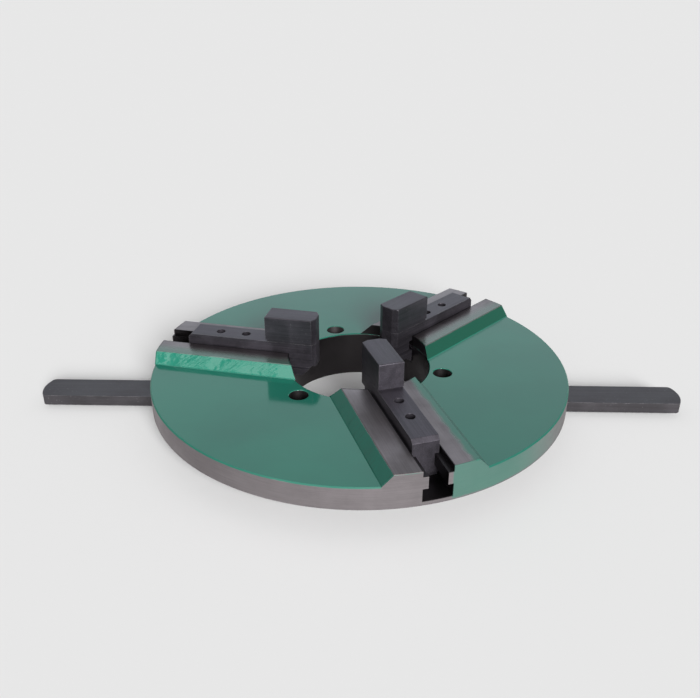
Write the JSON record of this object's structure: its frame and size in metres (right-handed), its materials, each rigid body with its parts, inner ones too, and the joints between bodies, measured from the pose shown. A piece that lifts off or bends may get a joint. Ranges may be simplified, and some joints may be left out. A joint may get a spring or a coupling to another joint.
{
  "type": "three-jaw lever scroll chuck",
  "caption": "Flat round self-centring workholding chuck with radial jaws in raised guides, a centre bore and bar levers that turn the scroll.",
  "frame": {"origin": "centre of the back face that sits on the machine's table, on the chuck axis", "axes": "+Z along the chuck axis, out of the jaw side; +X along the right-hand bar lever; +Y completes the frame"},
  "size_m": [0.475, 0.3, 0.0705],
  "materials": {
    "painted_body": "gloss green paint on the face and guide slopes; guide tops, slots, bore and rim bare machined",
    "turned_steel": "turned, lightly oiled",
    "ground_steel": "ground",
    "bronze_washer": "turned bronze",
    "black_screws": "black oxide",
    "black_bar": "black oxide over flat bar stock",
    "black_jaw": "black oxide over milled steel",
    "ground_pin": "ground dowel"
  },
  "bodies": {
    "body": {"chuck_body": "painted_body", "thrust_washer": "bronze_washer", "back_plate": "ground_steel", "back_plate_screws": "black_screws"},
    "scroll": {"scroll_plate": "turned_steel", "handle_left": "black_bar", "handle_right": "black_bar", "handle_screws_left": "black_screws", "handle_screws_right": "black_screws"},
    "jaw_1": {"base_jaw_1": "black_jaw", "top_jaw_1": "black_jaw", "top_jaw_screws_1": "black_screws", "top_jaw_pin_1": "ground_pin"},
    "jaw_2": {"base_jaw_2": "black_jaw", "top_jaw_2": "black_jaw", "top_jaw_screws_2": "black_screws", "top_jaw_pin_2": "ground_pin"},
    "jaw_3": {"base_jaw_3": "black_jaw", "top_jaw_3": "black_jaw", "top_jaw_screws_3": "black_screws", "top_jaw_pin_3": "ground_pin"}
  },
  "joints": [
    {"name": "scroll_turn", "type": "hinge", "parent": "body", "child": "scroll", "pos_m": [0, 0, 0.0146], "axis": [0, 0, 1], "range_deg": [-1008, 756]},
    {"name": "jaw_1_slide", "type": "slide", "parent": "body", "child": "jaw_1", "axis": [-0.9781, 0.2079, 0], "range_m": [-0.0281, 0.0211]},
    {"name": "jaw_2_slide", "type": "slide", "parent": "body", "child": "jaw_2", "axis": [0.6691, 0.7431, 0], "range_m": [-0.0281, 0.0211]},
    {"name": "jaw_3_slide", "type": "slide", "parent": "body", "child": "jaw_3", "axis": [0.309, -0.9511, 0], "range_m": [-0.0281, 0.0211]}
  ],
  "couplings": [
    {"joint": "jaw_1_slide", "follows": "scroll_turn", "m_per_rad": 0.0015915},
    {"joint": "jaw_2_slide", "follows": "scroll_turn", "m_per_rad": 0.0015915},
    {"joint": "jaw_3_slide", "follows": "scroll_turn", "m_per_rad": 0.0015915}
  ]
}
